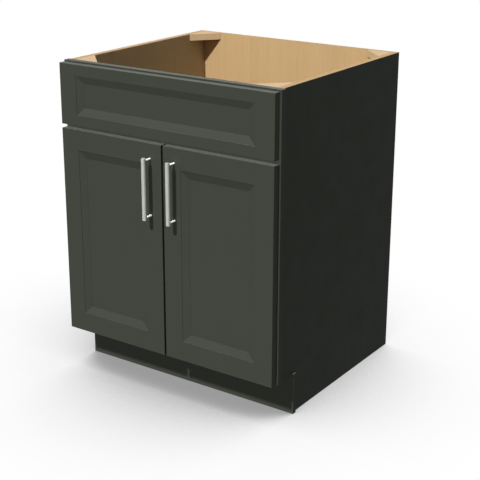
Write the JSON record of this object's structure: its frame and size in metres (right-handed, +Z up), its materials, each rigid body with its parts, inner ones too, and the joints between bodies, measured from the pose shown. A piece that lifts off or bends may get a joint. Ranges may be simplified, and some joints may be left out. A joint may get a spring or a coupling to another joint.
{
  "type": "sink base cabinet",
  "caption": "Floor-standing framed base cabinet for a kitchen sink, open top, fixed false drawer front over a pair of hinged doors, recessed toe kick.",
  "frame": {"origin": "on the floor, at the middle of the bounding box in plan", "axes": "+Z up; +X to the right seen from the front; +Y from the doors to the back panel"},
  "size_m": [0.6858, 0.6662, 0.8763],
  "materials": {
    "painted_wood": "satin paint, dark green-grey",
    "side_panel": "plywood, painted outside, clear finish inside",
    "bare_plywood": "clear satin finish",
    "pull_steel": "brushed",
    "hinge_nickel": "nickel plated",
    "spring_steel": "plain spring steel",
    "screw_zinc": "zinc plated",
    "bumper": "soft, translucent"
  },
  "bodies": {
    "cabinet": {"back_panel": "bare_plywood", "bottom_panel": "bare_plywood", "corner_block_front_left": "bare_plywood", "corner_block_front_right": "bare_plywood", "corner_block_rear_left": "bare_plywood", "corner_block_rear_right": "bare_plywood", "false_front_block_left": "bare_plywood", "false_front_block_right": "bare_plywood", "false_front_block_screws": "screw_zinc", "false_front_bottom_rail": "painted_wood", "false_front_bumpers": "bumper", "false_front_panel": "painted_wood", "false_front_screws": "screw_zinc", "false_front_stile_left": "painted_wood", "false_front_stile_right": "painted_wood", "false_front_top_rail": "painted_wood", "frame_bottom_rail": "painted_wood", "frame_middle_rail": "painted_wood", "frame_stile_left": "painted_wood", "frame_stile_right": "painted_wood", "frame_top_rail": "painted_wood", "hinge_arm_screws": "screw_zinc", "left_hinge_arm_lower": "hinge_nickel", "left_hinge_arm_upper": "hinge_nickel", "right_hinge_arm_lower": "hinge_nickel", "right_hinge_arm_upper": "hinge_nickel", "side_panel_left": "side_panel", "side_panel_right": "side_panel", "toe_kick_backer": "bare_plywood", "toe_kick_board": "painted_wood"},
    "left_door": {"left_door_bottom_rail": "painted_wood", "left_door_bumpers": "bumper", "left_door_hinge_stile": "painted_wood", "left_door_meeting_stile": "painted_wood", "left_door_panel": "painted_wood", "left_door_top_rail": "painted_wood", "left_hinge_cup_lower": "hinge_nickel", "left_hinge_cup_screws": "screw_zinc", "left_hinge_cup_upper": "hinge_nickel", "left_hinge_pins": "hinge_nickel", "left_hinge_springs": "spring_steel", "left_pull_bar": "pull_steel", "left_pull_posts": "pull_steel", "left_pull_screws": "screw_zinc"},
    "right_door": {"right_door_bottom_rail": "painted_wood", "right_door_bumpers": "bumper", "right_door_hinge_stile": "painted_wood", "right_door_meeting_stile": "painted_wood", "right_door_panel": "painted_wood", "right_door_top_rail": "painted_wood", "right_hinge_cup_lower": "hinge_nickel", "right_hinge_cup_screws": "screw_zinc", "right_hinge_cup_upper": "hinge_nickel", "right_hinge_pins": "hinge_nickel", "right_hinge_springs": "spring_steel", "right_pull_bar": "pull_steel", "right_pull_posts": "pull_steel", "right_pull_screws": "screw_zinc"}
  },
  "joints": [
    {"name": "left_door_hinge", "type": "hinge", "parent": "cabinet", "child": "left_door", "pos_m": [-0.3309, -0.288, 0.4055], "axis": [0, 0, -1], "range_deg": [0, 105]},
    {"name": "right_door_hinge", "type": "hinge", "parent": "cabinet", "child": "right_door", "pos_m": [0.3309, -0.288, 0.4055], "axis": [0, 0, 1], "range_deg": [0, 105]}
  ]
}
